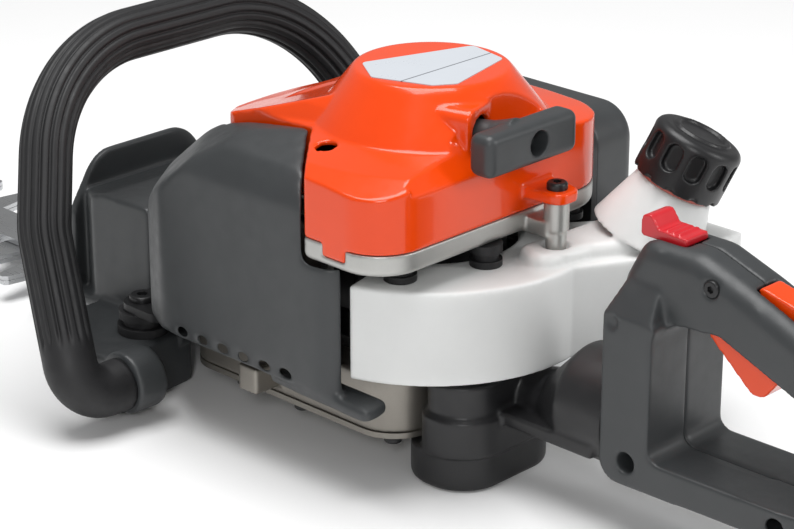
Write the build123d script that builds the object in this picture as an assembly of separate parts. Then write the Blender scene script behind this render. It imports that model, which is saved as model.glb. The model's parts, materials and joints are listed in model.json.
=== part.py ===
from build123d import *
import math
import os

# Hand-held petrol hedge trimmer with a vertical crankshaft and a double-sided blade.
# The model is drawn about the crankshaft: X forward to the blade tip, Y to the machine's left, Z up from the
# ground. Every part is then moved so that the row's origin lies on the sole of the rear foot, on the centre plane.
ORIGIN_SETBACK = 42.0        # crankshaft axis ahead of the origin

# Engine
BORE = 32.0
STROKE = 27.0
CYLINDER_Z = 79.0            # height of the horizontal cylinder's axis
ROD_LENGTH = 46.0
SHAFT_R = 6.0
BEARING_R = 16.0
CHAMBER_R = 26.0
CRANKCASE_R = 33.0
PLATE_Z = (105.0, 114.5)     # cast fan case, under face and parting face
FLYWHEEL_R = 44.0
FIT = 0.05                   # radial clearance of a running fit
GAP = 0.3                    # clearance between parts that move past each other

# Gearing
PINION_TEETH = 9
GEAR_TEETH = 55
MODULE = 1.5
GEAR_X = MODULE * (PINION_TEETH + GEAR_TEETH) / 2
GEAR_Z = (22.5, 29.5)
DRUM_SHAFT_R = 3.5
GEAR_SHAFT_R = 5.5
CASE_Z = (20.0, 46.0)        # gear case, joint with its cover and with the crankcase

# Cutter
BLADE_T = 2.2
LOWER_BLADE_Z = 9.5
UPPER_BLADE_Z = 11.9
BAR_Z = (14.4, 17.4)
TOOTH_PITCH = 28.0
TOOTH_TIP_Y = 43.0
BLADE_START = 178.0
BLADE_END = 652.0
CUT_STROKE = 14.0
BOLT_XS = (98.0, 215.0, 355.0, 495.0, 625.0)
COLLAR_R = 4.0
HANG_HOLE_R = 3.5
HANG_HOLE_X = 651.0

# Starter
DOME_TOP_Z = 170.0
DOME_TOP_R = 34.0
PULLEY_Z = (146.0, 156.0)
PULLEY_R = 27.0
ROPE_Z = 151.0
ROPE_R = 1.6
ROPE_COIL_R = 22.5           # radius at which the rope leaves the pulley
ROPE_RUN = (-0.9616, -0.2745)
GRIP_FACE_X = -62.0
GRIP_BACK_X = -49.0

# Tank
TANK_Z = (53.0, 95.0)
TANK_R = (38.5, 73.0)
CAP_BASE = (-80.3, -66.3, 118.7)
CAP_LEAN = (-0.30, -0.30, 0.906)
CAP_R = 20.0
CAP_H = 24.0
NECK_TOP_R = 17.0

# Handles
POST_X = (-142.0, -117.0)
HANDLE_HALF = 24.5
GRIP_HALF = 15.5
LOOP_R = 12.0
LOOP_LEAN = 26.0             # degrees forward of upright
LOOP_FOOT_X = 93.9           # where the loop's plane meets the ground
LOOP_AXIS = [(117, 21), (105, 96), (72.5, 170.5)]      # half of the loop's corners in its own plane
LOOP_BENDS = [14, 42, 72]
SOCKET_Y = 92.0              # outer end of the base's sockets for the loop
GUARD_X = 191.0

WALL = 2.5
UP = (0, 0, 1)
MIN = (Align.CENTER, Align.CENTER, Align.MIN)
nodes = {}


def block(low, high):
    """A box between two corners."""
    size = [b - a for a, b in zip(low, high)]
    return Pos(*low) * Box(*size, align=(Align.MIN, Align.MIN, Align.MIN))


def rod(radius, start, end):
    """A round bar from start to end."""
    line = Vector(*end) - Vector(*start)
    return Plane(origin=start, z_dir=line) * Cylinder(radius, line.length, align=MIN)


def disc(radius, x, y, z_low, z_high):
    """An upright cylinder."""
    return rod(radius, (x, y, z_low), (x, y, z_high))


def outline(points, radius):
    """A flat face whose corners are rounded; radius is one number or one for each corner."""
    path = FilletPolyline(*points, radius=radius, close=True)
    return make_face(path)


def slab(points, radius, z_low, z_high):
    """An upright prism of a rounded outline."""
    return Pos(0, 0, z_low) * extrude(outline(points, radius), z_high - z_low)


def side_slab(points, radius, y_low, y_high):
    """A prism across the machine; its outline's points are X and Z."""
    face = Plane.XZ * outline(points, radius)
    return Pos(0, y_high, 0) * extrude(face, y_high - y_low)


def soften(shape, edges, radius):
    """Rounds the edges, with a smaller radius where the full one can't fit."""
    for share in (1.0, 0.6, 0.3):
        try:
            rounded = fillet(edges, radius * share)
            if rounded.is_valid and rounded.volume > 0:
                return rounded
        except (ValueError, RuntimeError):
            continue
    return shape


def screw(at, along, head_r, head_h, shank_r, length):
    """A pan-head screw with a six-sided drive; its shank runs from at along the direction."""
    plane = Plane(origin=at, z_dir=Vector(*along))
    shank = plane * Cylinder(shank_r, length, align=MIN)
    head = Pos(0, 0, -head_h) * Cylinder(head_r, head_h, align=MIN)
    head = fillet(head.faces().sort_by(Axis.Z)[0].edges(), head_h * 0.4)
    socket = Pos(0, 0, -head_h) * extrude(RegularPolygon(head_r * 0.45, 6), head_h * 0.6)
    return plane * (head - socket) + shank


def group(shapes):
    """Separate solids kept together in one node."""
    return Compound([solid for shape in shapes for solid in shape.solids()])


# ---------------------------------------------------------------- engine

def crankcase():
    body = disc(CRANKCASE_R, 0, 0, CASE_Z[1] + 5, PLATE_Z[0]) + disc(28, 0, 0, CASE_Z[1], CASE_Z[1] + 6)
    body += slab([(-27, -36), (44, -36), (44, 36), (-27, 36)], 12, CASE_Z[1], CASE_Z[1] + 5)
    body += block((0, -24, 57), (36, 24, 101))
    body -= disc(CHAMBER_R, 0, 0, 65, 93)
    body -= disc(BEARING_R, 0, 0, 55, 103)
    body -= disc(SHAFT_R + 1, 0, 0, CASE_Z[1], PLATE_Z[0])
    body -= rod(BORE / 2 + 3, (10, 0, CYLINDER_Z), (36, 0, CYLINDER_Z))
    body -= disc(24, 0, 0, CASE_Z[1], CASE_Z[1] + 3)
    return body


def bearings():
    """The crankshaft's two ball bearings, and the bushes of the clutch drum and the drive gear."""
    ring = disc(BEARING_R, 0, 0, 0, 10) - disc(SHAFT_R + FIT, 0, 0, 0, 10)
    ring -= disc(12.5, 0, 0, 0, 1) - disc(9, 0, 0, 0, 1)
    drum_bush = disc(5.5, 0, 0, 13.5, 20) - disc(DRUM_SHAFT_R + FIT, 0, 0, 13.5, 20)
    gear_bush = disc(9, GEAR_X, 0, 30.5, 41) - disc(GEAR_SHAFT_R + FIT, GEAR_X, 0, 30.5, 41)
    return group([Pos(0, 0, 55) * ring, Pos(0, 0, 93) * ring, drum_bush, gear_bush])


def crankshaft():
    shaft = disc(SHAFT_R, 0, 0, 34, 72.5) + disc(SHAFT_R, 0, 0, 85.5, 124)
    webs = disc(24, 0, 0, 66, 72.5) + disc(24, 0, 0, 85.5, 92)
    notch = block((-26, 10, 60), (26, 26, 100)) + block((-26, -26, 60), (26, -10, 100))
    webs -= notch & block((2, -26, 60), (26, 26, 100))
    return shaft + webs


def engine_pins():
    """Crank pin, which stops short of the crank webs, and the piston's hollow wrist pin."""
    pin_x = STROKE / 2 + ROD_LENGTH
    crank_pin = disc(5, STROKE / 2, 0, 73.3, 84.7)
    wrist_pin = disc(4, pin_x, 0, CYLINDER_Z - 15, CYLINDER_Z + 15) - disc(2.5, pin_x, 0, 60, 98)
    return group([crank_pin, wrist_pin])


def connecting_rod():
    crank_x, pin_x = STROKE / 2, STROKE / 2 + ROD_LENGTH
    rod_body = disc(9, crank_x, 0, 74, 84) + disc(7.5, pin_x, 0, 74, 84)
    rod_body += block((crank_x, -4, 76), (pin_x, 4, 82))
    return rod_body - disc(5 + FIT, crank_x, 0, 74, 84) - disc(4 + FIT, pin_x, 0, 74, 84)


def piston():
    pin_x = STROKE / 2 + ROD_LENGTH
    body = rod(BORE / 2 - FIT, (pin_x - 12, 0, CYLINDER_Z), (pin_x + 12, 0, CYLINDER_Z))
    body -= rod(BORE / 2 - 3, (pin_x - 12, 0, CYLINDER_Z), (pin_x + 8.5, 0, CYLINDER_Z))
    for ring_x in (pin_x + 6.5, pin_x + 9.5):
        groove = rod(BORE / 2, (ring_x, 0, CYLINDER_Z), (ring_x + 1, 0, CYLINDER_Z))
        groove -= rod(BORE / 2 - 1.5, (ring_x, 0, CYLINDER_Z), (ring_x + 1, 0, CYLINDER_Z))
        body -= groove
    return body - disc(4, pin_x, 0, 60, 98)


def cylinder():
    head_x = STROKE / 2 + ROD_LENGTH + 14
    body = rod(BORE / 2 + 3, (27, 0, CYLINDER_Z), (head_x + 8, 0, CYLINDER_Z))
    body += block((36, -24, 57), (40, 24, 101))
    fin_count, fin_start = 8, 45.0
    for index in range(fin_count):
        fin_x = fin_start + index * 4.8
        fin = block((fin_x, -30, 55), (fin_x + 2, 30, 103))
        body += fin & rod(33, (fin_x, 0, CYLINDER_Z), (fin_x + 2, 0, CYLINDER_Z))
    body += block((50, 20, 68), (66, 36, 90)) + block((50, -36, 68), (66, -20, 90))
    body -= rod(BORE / 2, (27, 0, CYLINDER_Z), (head_x, 0, CYLINDER_Z))
    body -= rod(6, (58, 14, CYLINDER_Z), (58, 36, CYLINDER_Z))
    body -= rod(5.5, (58, -36, CYLINDER_Z), (58, -14, CYLINDER_Z))
    body -= rod(5, (head_x, 0, CYLINDER_Z), (head_x + 8, 0, CYLINDER_Z))
    return body


def spark_plug():
    seat_x = STROKE / 2 + ROD_LENGTH + 22
    plug = extrude(Plane(origin=(seat_x + 2, 0, CYLINDER_Z), z_dir=(1, 0, 0)) * RegularPolygon(8, 6), 6)
    for radius, low, high in ((5, -7, 0), (7, 0, 2), (4, 8, 14)):
        plug += rod(radius, (seat_x + low, 0, CYLINDER_Z), (seat_x + high, 0, CYLINDER_Z))
    return plug


def plug_boot():
    seat_x = STROKE / 2 + ROD_LENGTH + 30
    boot = rod(8, (seat_x, 0, CYLINDER_Z), (seat_x + 12, 0, CYLINDER_Z))
    boot += rod(5, (seat_x + 6, 0, CYLINDER_Z), (seat_x + 6, -16, CYLINDER_Z))
    return boot - rod(4, (seat_x, 0, CYLINDER_Z), (seat_x + 6, 0, CYLINDER_Z))


def muffler():
    low, high = (26, 38, 56), (98, 74, 103)
    body = block(low, high)
    body = fillet(body.edges(), 6)
    body += block((46, 36, 66), (70, 38, 92))
    body -= fillet(block((28, 40, 58), (96, 72, 101)).edges(), 4)
    body -= rod(6, (58, 36, CYLINDER_Z), (58, 40, CYLINDER_Z))
    outlet = rod(7, (90, 56, 62), (104, 60, 56)) - rod(5.5, (88, 55.5, 63), (106, 61, 55))
    return body - rod(5.5, (88, 55.5, 63), (106, 61, 55)) + (outlet - block(low, high))


def intake_manifold():
    body = block((44, -44, 64), (72, -36, 94))
    return fillet(body.edges().filter_by(Axis.Y), 6) - rod(5.5, (58, -44, CYLINDER_Z), (58, -36, CYLINDER_Z))


def carburettor():
    body = block((43, -68, 62), (73, -44, 96))
    body = fillet(body.edges().filter_by(Axis.Y), 3)
    body += disc(12, 58, -56, 96, 101)
    body -= rod(6, (58, -68, CYLINDER_Z), (58, -44, CYLINDER_Z))
    return body - rod(2 + FIT, (73, -62, 86), (66, -62, 86))


def carburettor_lever():
    """Throttle lever on the carburettor's front face, with the cable's nipple eye."""
    arm = rod(6, (73.3, -62, 86), (75.5, -62, 86)) + block((73.3, -65, 86), (75.5, -59, 104))
    arm += rod(2, (66.5, -62, 86), (73.3, -62, 86))
    return arm - rod(1.2, (73, -62, 100), (76, -62, 100))


def air_filter_base():
    """Back plate, with one tab for the choke lever's pin and one for the primer bulb."""
    plate = block((-33, -71, 58), (88, -68, 137))
    plate = fillet(plate.edges().filter_by(Axis.Y), 16)
    plate += block((66, -71, 46), (78, -68, 74)) + block((-2, -71, 38), (22, -68, 60))
    plate -= rod(6, (58, -71, CYLINDER_Z), (58, -68, CYLINDER_Z))
    plate -= rod(8 + GAP, (PRIMER[0], -71, PRIMER[1]), (PRIMER[0], -68, PRIMER[1]))
    return plate - rod(1.5, (CHOKE[0], -71, CHOKE[1]), (CHOKE[0], -68, CHOKE[1]))


PRIMER = (10.0, 49.0)
CHOKE = (72.0, 52.0)


def primer_bulb():
    """Fuel primer: a hollow dome that the thumb pushes in."""
    x, z = PRIMER
    dome = Pos(x, -73, z) * Sphere(8) & block((x - 9, -82, z - 9), (x + 9, -73, z + 9))
    dome += rod(8, (x, -73, z), (x, -70, z))
    return dome - Pos(x, -73, z) * Sphere(6.4) - rod(6.4, (x, -73, z), (x, -70, z))


def air_filter_element():
    body = block((4, -84, 70), (74, -73, 124))
    return fillet(body.edges().filter_by(Axis.Y), 8) - rod(3, (34, -84, 97), (34, -73, 97))


def air_filter_cover():
    shell_low, shell_high = (-33, -98, 58), (88, -71, 137)
    outer = block(shell_low, shell_high)
    outer = fillet(outer.edges().filter_by(Axis.Y), 16)
    outer = fillet(outer.faces().sort_by(Axis.Y)[0].edges(), 7)
    inner = fillet(block((-30.5, -95.5, 60.5), (85.5, -71, 134.5)).edges().filter_by(Axis.Y), 13.5)
    inner = fillet(inner.faces().sort_by(Axis.Y)[0].edges(), 5)
    shell = outer - inner - rod(5, (34, -99, 97), (34, -90, 97))
    for index in range(6):
        louvre_z = 72 + index * 9.0
        shell -= block((62, -100, louvre_z), (76, -93, louvre_z + 3.5))
    return shell


def filter_cover_knob():
    knob = rod(9, (34, -98.3, 97), (34, -104, 97)) + rod(4.6, (34, -98.3, 97), (34, -86, 97))
    knob += rod(2.5, (34, -86, 97), (34, -71.3, 97))
    return knob - block((25, -104, 95.5), (43, -102, 98.5))


def choke_lever():
    """Choke lever that sticks out behind the air filter cover's lower edge."""
    x, z = CHOKE
    lever = rod(4, (x, -71.5, z), (x, -77, z)) + block((x - 28, -75, z - 2.5), (x - 2, -72, z + 1.5))
    return lever - rod(1.5 + FIT, (x, -71, z), (x, -78, z))


def flywheel():
    wheel = disc(FLYWHEEL_R, 0, 0, 111, 114.5) + disc(11, 0, 0, 109, 121)
    fan_count = 14
    for index in range(fan_count):
        fan = block((20, -0.9, 114), (FLYWHEEL_R - 1, 0.9, 130))
        wheel += Rot(0, 0, index * 360 / fan_count) * fan
    return wheel - disc(SHAFT_R, 0, 0, 109, 130)


def starter_cup():
    """Cup that the starter's pawls grip; its threaded hub clamps the flywheel."""
    cup = disc(17, 0, 0, 125, 135) - disc(14.5, 0, 0, 127, 135) + disc(9, 0, 0, 121, 125)
    cup -= disc(SHAFT_R, 0, 0, 120, 124)
    for index in range(3):
        window = Rot(0, 0, index * 120) * block((12, -4, 130), (18, 4, 134))
        cup -= window
    return cup


def ignition_module():
    core = block((50, -12, 112), (58, 12, 118)) + block((46, -12, 112), (50, -8, 118))
    core += block((46, 8, 112), (50, 12, 118))
    coil = block((52, -10, 109), (66, 10, 126))
    return fillet(coil.edges(), 2) + core


def clutch():
    """Hub and two shoes of the centrifugal clutch on the crankshaft's lower end."""
    hub = block((-7, -11, 35), (7, 11, 42)) - disc(SHAFT_R, 0, 0, 34, 43)
    ring = disc(21.5, 0, 0, 35, 42) - disc(13, 0, 0, 35, 42)
    shoes = ring - block((-22, -2, 35), (22, 2, 42))
    arms = block((-6.5, -14, 35), (6.5, 14, 42)) - disc(SHAFT_R, 0, 0, 34, 43)
    return hub + shoes + arms


def gear_profile(teeth, bore_r):
    """A spur gear's face: straight-flanked teeth that share the pitch circle evenly."""
    pitch_r = MODULE * teeth / 2
    tip_r, root_r = pitch_r + 0.92 * MODULE, pitch_r - 1.2 * MODULE
    step = 360 / teeth
    points = []
    for index in range(teeth):
        for radius, share in ((root_r, -0.34), (pitch_r, -0.235), (tip_r, -0.12),
                              (tip_r, 0.12), (pitch_r, 0.235), (root_r, 0.34)):
            angle = math.radians((index + share) * step)
            points.append((radius * math.cos(angle), radius * math.sin(angle)))
    return make_face(Polyline(*points, close=True)) - Circle(bore_r)


def clutch_drum():
    drum = disc(25.3, 0, 0, 31, 42) - disc(22.5, 0, 0, 33, 42)
    drum += disc(DRUM_SHAFT_R, 0, 0, 13.8, 31)
    half_step = 180 / PINION_TEETH
    teeth = extrude(Rot(0, 0, half_step) * gear_profile(PINION_TEETH, 2), GEAR_Z[1] - GEAR_Z[0] + 1)
    return drum + Pos(0, 0, GEAR_Z[0]) * teeth


def drive_gear():
    teeth = extrude(Rot(0, 0, 180) * gear_profile(GEAR_TEETH, 5), GEAR_Z[1] - GEAR_Z[0])
    for index in range(6):
        teeth -= Rot(0, 0, index * 60 + 30) * disc(7, 25, 0, 0, 10)
    gear = Pos(GEAR_X, 0, GEAR_Z[0]) * teeth
    gear += disc(9, GEAR_X, 0, 14.4, GEAR_Z[0]) + disc(GEAR_SHAFT_R, GEAR_X, 0, GEAR_Z[0], 42)
    return gear


CASE_OUTLINE = [(-28, -51), (106, -51), (106, 51), (-28, 51)]
CASE_INSIDE = [(-25.8, -47.5), (102, -47.5), (102, 47.5), (-25.8, 47.5)]
CASE_SCREWS = [(-19, 43), (33, 46.5), (70, 46.5), (-19, -43), (33, -46.5), (70, -46.5)]


def gear_case():
    case = slab(CASE_OUTLINE, [20, 16, 16, 20], *CASE_Z)
    case -= slab(CASE_INSIDE, [17, 12, 12, 17], CASE_Z[0], CASE_Z[1] - 3.5)
    case += disc(12, GEAR_X, 0, 30.5, CASE_Z[1]) - disc(9, GEAR_X, 0, 30.5, CASE_Z[1] - 3.5)
    case -= disc(23.5, 0, 0, CASE_Z[1] - 3.5, CASE_Z[1])
    case -= disc(5.5 + GAP, GEAR_X, 0, CASE_Z[1] - 3.5, CASE_Z[1] - 3)
    for x, y in CASE_SCREWS:
        boss = disc(5, x, y, CASE_Z[0], CASE_Z[1] - 3)
        case += boss & slab(CASE_OUTLINE, [20, 16, 16, 20], *CASE_Z)
        case -= disc(2.2, x, y, CASE_Z[0], CASE_Z[0] + 12)
    case += disc(6, BOLT_XS[0], 0, CASE_Z[0], CASE_Z[1] - 3) + block((42, 50, 24), (54, 66, 36))
    case -= disc(COLLAR_R - 1, BOLT_XS[0], 0, CASE_Z[0], 32)
    case -= disc(25.3 + 0.7, 0, 0, CASE_Z[0], CASE_Z[1] - 3.5)
    return case - rod(3, (48, 59, 24), (48, 59, 36))


def gear_case_cover():
    plate = slab(CASE_OUTLINE, [20, 16, 16, 20], BAR_Z[1], CASE_Z[0])
    plate -= disc(9.6, GEAR_X, 0, 17, 21)
    plate += disc(8, 0, 0, 12.5, CASE_Z[0])
    plate -= disc(5.5, 0, 0, 13.5, 21)
    for x, y in CASE_SCREWS:
        plate -= disc(2.2, x, y, 17, 21)
    return plate - disc(COLLAR_R - 1, BOLT_XS[0], 0, 17, 21)


# ---------------------------------------------------------------- cutter

def blade(z_low):
    """One reciprocating blade: a spine with teeth on both sides, slots for the bolts and a drive eye."""
    spine = block((95, -11, z_low), (BLADE_END - 14, 11, z_low + BLADE_T))
    spine += block((GEAR_X, -8, z_low), (100, 8, z_low + BLADE_T))
    spine += disc(19, GEAR_X, 0, z_low, z_low + BLADE_T)
    tooth = make_face(Polyline((-9, 10), (9, 10), (3.5, TOOTH_TIP_Y - 2), (2, TOOTH_TIP_Y),
                               (-2, TOOTH_TIP_Y), (-3.5, TOOTH_TIP_Y - 2), close=True))
    prism = extrude(tooth, BLADE_T)
    count = int((BLADE_END - BLADE_START - 20) / TOOTH_PITCH)
    for index in range(count):
        x = BLADE_START + 20 + index * TOOTH_PITCH
        spine += Pos(x, 0, z_low) * prism
        spine += Pos(x, 0, z_low) * mirror(prism, Plane.XZ)
    slot_half = CUT_STROKE / 2 + COLLAR_R + GAP
    for x in BOLT_XS:
        slot = slab([(x - slot_half, -COLLAR_R - GAP), (x + slot_half, -COLLAR_R - GAP),
                     (x + slot_half, COLLAR_R + GAP), (x - slot_half, COLLAR_R + GAP)],
                    COLLAR_R, z_low, z_low + BLADE_T)
        spine -= slot
    return spine - disc(15 + FIT, GEAR_X, 0, z_low, z_low + BLADE_T)


def eccentric(z_low, lean):
    """The drive disc in a blade's eye, with its off-centre shaft hole."""
    plate = disc(15, GEAR_X, 0, z_low, z_low + BLADE_T)
    return plate - disc(5, GEAR_X + lean, 0, z_low, z_low + BLADE_T)


def blade_bar():
    bar = block((84, -12, BAR_Z[0]), (BLADE_END - 4, 12, BAR_Z[1]))
    bar += disc(12, BLADE_END - 4, 0, *BAR_Z)
    for x in BOLT_XS:
        bar -= disc(COLLAR_R - 1, x, 0, *BAR_Z)
    return bar - disc(HANG_HOLE_R, HANG_HOLE_X, 0, *BAR_Z)


def blade_bolts():
    """Shouldered bolts that the blades slide on; the first screws into the gear case, the others have nuts."""
    bolts = []
    for x in BOLT_XS:
        head = Pos(x, 0, LOWER_BLADE_Z - 3.2) * extrude(RegularPolygon(6.5, 6), 3)
        collar = disc(COLLAR_R, x, 0, LOWER_BLADE_Z - 0.2, BAR_Z[0])
        stud_top = 32 if x == BOLT_XS[0] else BAR_Z[1] + 5
        bolts.append(head + collar + disc(COLLAR_R - 1, x, 0, BAR_Z[0], stud_top))
        if x != BOLT_XS[0]:
            nut = Pos(x, 0, BAR_Z[1]) * extrude(RegularPolygon(6, 6), 4)
            bolts.append(nut - disc(COLLAR_R - 1, x, 0, BAR_Z[1], BAR_Z[1] + 5))
    return group(bolts)


# ---------------------------------------------------------------- fan case and starter

HOUSING_PLAN = [(-4, 79.5), (-48, 79.5), (-48, -67), (45, -67), (94, -42), (98, 24), (82, 42), (26, 46)]
HOUSING_CORNERS = [2, 21, 26, 22, 12, 8, 8, 3]
PLATE_PLAN = [(-4, 79.5), (-48, 79.5), (-48, -67), (45, -67), (74, -44), (74, 40), (26, 48)]
PLATE_CORNERS = [2, 21, 26, 18, 8, 8, 3]
ROOF = [(0, DOME_TOP_Z), (DOME_TOP_R - 1, DOME_TOP_Z), (DOME_TOP_R + 1, DOME_TOP_Z - 2), (51, 147.5), (72, 144),
        (84, 139), (112, 131), (112, PLATE_Z[1]), (0, PLATE_Z[1])]
EAR = (-60.0, -13.0)
ROOF_SCREW = (6.0, 57.0)


def roof_solid(drop):
    """The starter housing's roof turned about the crankshaft, lowered by drop."""
    points = [(x, z - drop if z > PLATE_Z[1] else z - 1) for x, z in ROOF]
    return revolve(Plane.XZ * make_face(Polyline(*points, close=True)), Axis.Z)


def wing(inset):
    """The duct that carries the fan's air over the cylinder: its roof rises to the dome, its left side leans in."""
    points = [(20, 114), (99 - inset, 114), (99 - inset, 125 - inset), (91 - inset, 136.5 - inset),
              (20, 160.5 - inset)]
    duct = side_slab(points, [1, 1, 3, 4, 1], -42 + inset, 46 - inset)
    lateral = Polyline((46 - inset, 114), (46 - inset, 142), (39 - inset, 154), (30 - inset, 164), (-42, 164),
                       (-42, 114), close=True)
    return duct & Pos(19, 0, 0) * extrude(Plane.YZ * make_face(lateral), 90)


def rear_facet(inset):
    """Wedge planed off between the roof and the rear wall, round the rope guide."""
    low = 1.6 * inset
    points = [(-60, 122 - low), (-49, 136.5 - low), (-38 + inset, 151 - 0.6 * inset), (-37 + inset, 169), (-60, 169)]
    return Pos(0, 62, 0) * extrude(Plane.XZ * make_face(Polyline(*points, close=True)), 88)


def along_rope(distance, lift=0.0):
    """A point on the rope's straight run, measured from where it leaves the pulley."""
    run_x, run_y = ROPE_RUN
    return (run_y * ROPE_COIL_R + run_x * distance, -run_x * ROPE_COIL_R + run_y * distance, ROPE_Z + lift)


def across_rope(distance, lift=0.0):
    return Plane(origin=along_rope(distance, lift), x_dir=(-ROPE_RUN[1], ROPE_RUN[0], 0), z_dir=(*ROPE_RUN, 0))


def starter_housing():
    plan = slab(HOUSING_PLAN, HOUSING_CORNERS, PLATE_Z[1], DOME_TOP_Z)
    outer = (plan & (roof_solid(0) + wing(0))) - rear_facet(0)
    inset = offset(outline(HOUSING_PLAN, HOUSING_CORNERS), -WALL)
    inside = Pos(0, 0, PLATE_Z[1]) * extrude(inset, DOME_TOP_Z)
    inside = (inside & (roof_solid(WALL) + wing(WALL))) - rear_facet(WALL)
    shell = outer - inside
    shell += disc(4, 0, 0, 137, DOME_TOP_Z - 1) - disc(2, 0, 0, 136, 151)
    tunnel = loft([across_rope(8, 1) * RectangleRounded(27, 25, 4), across_rope(35, 1) * RectangleRounded(23, 23, 5)])
    shell += tunnel - inside
    shell -= rod(8.2, along_rope(6), along_rope(52))
    shell += slab([(-68, -20), (-47, -23), (-47, -4), (-68, -6)], [6, 1, 1, 6], 121, 126)
    shell -= disc(2.5, *EAR, 120, 127)
    shell -= disc(4.6, *ROOF_SCREW, 138, 160) + disc(2.3, *ROOF_SCREW, 130, 140)
    shell += starter_tab()
    for index in range(7):
        slot_x = -22 + index * 8.0
        shell -= block((slot_x, -70, 119), (slot_x + 4, -60, 129))
    return shell


def starter_tab():
    """Tongue of the housing that dips into the fan case's rim on the left."""
    return block((-27, 76.5, 109), (-14, 79.5, PLATE_Z[1]))


def fan_case():
    plate = slab(PLATE_PLAN, PLATE_CORNERS, *PLATE_Z)
    bottom = plate.faces().sort_by(Axis.Z)[0].edges()
    plate = soften(plate, bottom, 3)
    inset = offset(outline(PLATE_PLAN, PLATE_CORNERS), -3.2)
    plate -= Pos(0, 0, PLATE_Z[0] + 3) * extrude(inset, 20)
    plate -= disc(9.5, 0, 0, PLATE_Z[0] - 1, PLATE_Z[0] + 4)
    plate += disc(5.5, *EAR, 108, 121) + slab([(-60, -19), (-46, -19), (-46, -7), (-60, -7)], 1, 105, 112)
    plate += disc(4.5, *EAR, TANK_RIDGE_Z - 2, 108)
    plate -= disc(2.2, *EAR, 108, 122)
    plate -= starter_tab()
    return plate - block((48, -24, 100), (70, 24, PLATE_Z[0] + 3))


def body_screws():
    """Screws of the castings and covers: gear case, starter housing, starter pulley, mounts and handle."""
    down = (0, 0, -1)
    screws = [screw((x, y, BAR_Z[1]), UP, 4, 2.6, 2.2, 13) for x, y in CASE_SCREWS]
    screws.append(screw((*EAR, 126), down, 4.5, 3.2, 2.2, 18))
    screws.append(screw((*ROOF_SCREW, 138), down, 4, 2.6, 2.2, 20))
    screws.append(screw((0, 0, 137), UP, 7, 1.2, 2, 14))
    screws += [screw((MOUNT_XY[0], side * MOUNT_XY[1], 42), down, 6, 3, 3, 20) for side in (1, -1)]
    screws += [screw((x, GRIP_HALF - 2.4, z), (0, -1, 0), 3.6, 2.2, 1.6, 22) for x, z in HANDLE_SCREWS]
    return group(screws)


def top_badge():
    badge = make_face(Polyline((22, 20), (5, -31), (-17, -26), (-27, 13), (-21, 22), (5, 31.5), close=True))
    return Pos(0, 0, DOME_TOP_Z) * extrude(fillet(badge.vertices(), 3), 0.4)


def rope_pulley():
    pulley = disc(PULLEY_R, 0, 0, *PULLEY_Z) - disc(4 + FIT, 0, 0, *PULLEY_Z)
    groove = disc(PULLEY_R, 0, 0, PULLEY_Z[0] + 1.5, PULLEY_Z[1] - 1.5)
    groove -= disc(18, 0, 0, PULLEY_Z[0] + 1.5, PULLEY_Z[1] - 1.5)
    pulley += disc(9, 0, 0, 139, PULLEY_Z[0]) - disc(4 + FIT, 0, 0, 139, PULLEY_Z[0])
    turns = [Pos(0, 0, z) * Torus(radius, 1.45) for z in (149.3, 152.7) for radius in (19.5, ROPE_COIL_R)]
    return group([pulley - groove, *turns])


def starter_rope():
    return rod(ROPE_R, along_rope(14), along_rope(54))


def recoil_spring():
    """Flat spiral spring above the pulley, coiled from its hub hook to its outer hook."""
    turns, inner_r, outer_r, half_t = 6, 9.0, 25.0, 0.4
    steps = turns * 20
    radii = [inner_r + (outer_r - inner_r) * index / steps for index in range(steps + 1)]
    angles = [2 * math.pi * index / 20 for index in range(steps + 1)]
    outside = [((r + half_t) * math.cos(a), (r + half_t) * math.sin(a)) for r, a in zip(radii, angles)]
    inside = [((r - half_t) * math.cos(a), (r - half_t) * math.sin(a)) for r, a in zip(radii, angles)]
    strip = make_face(Polyline(*outside, *reversed(inside), close=True))
    return Pos(0, 0, 157.5) * extrude(strip, 7)


def starter_handle():
    grip = side_slab([(GRIP_FACE_X, 140.3), (GRIP_BACK_X, 140.3), (GRIP_BACK_X, 158.7), (GRIP_FACE_X, 158.7)], 4,
                     -24, 31)
    grip = soften(grip, grip.edges().filter_by(GeomType.LINE).filter_by(Axis.Z), 4)
    sections = [(50, 9.5), (45, 8), (40, 6.8), (26, 6)]
    grip += loft([across_rope(distance) * Circle(r) for distance, r in sections], ruled=True)
    grip -= rod(5.5, (GRIP_FACE_X - 1, 0.5, 149.5), (GRIP_FACE_X + 9, 0.5, 149.5))
    return grip - rod(ROPE_R, along_rope(54), along_rope(20))


# ---------------------------------------------------------------- covers

COVER_PLAN = [(-20, 79.8), (60, 80.5), (88, 80), (104, 72), (120, 58), (122, -20), (112, -44), (60, -62),
              (-20, -62)]
COVER_CORNERS = [12, 20, 14, 12, 14, 12, 12, 10, 1]
COVER_Z = (45.0, 152.0)
CORNER_LEAN = 35.0           # degrees from straight ahead that the cover's front left corner faces


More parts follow.
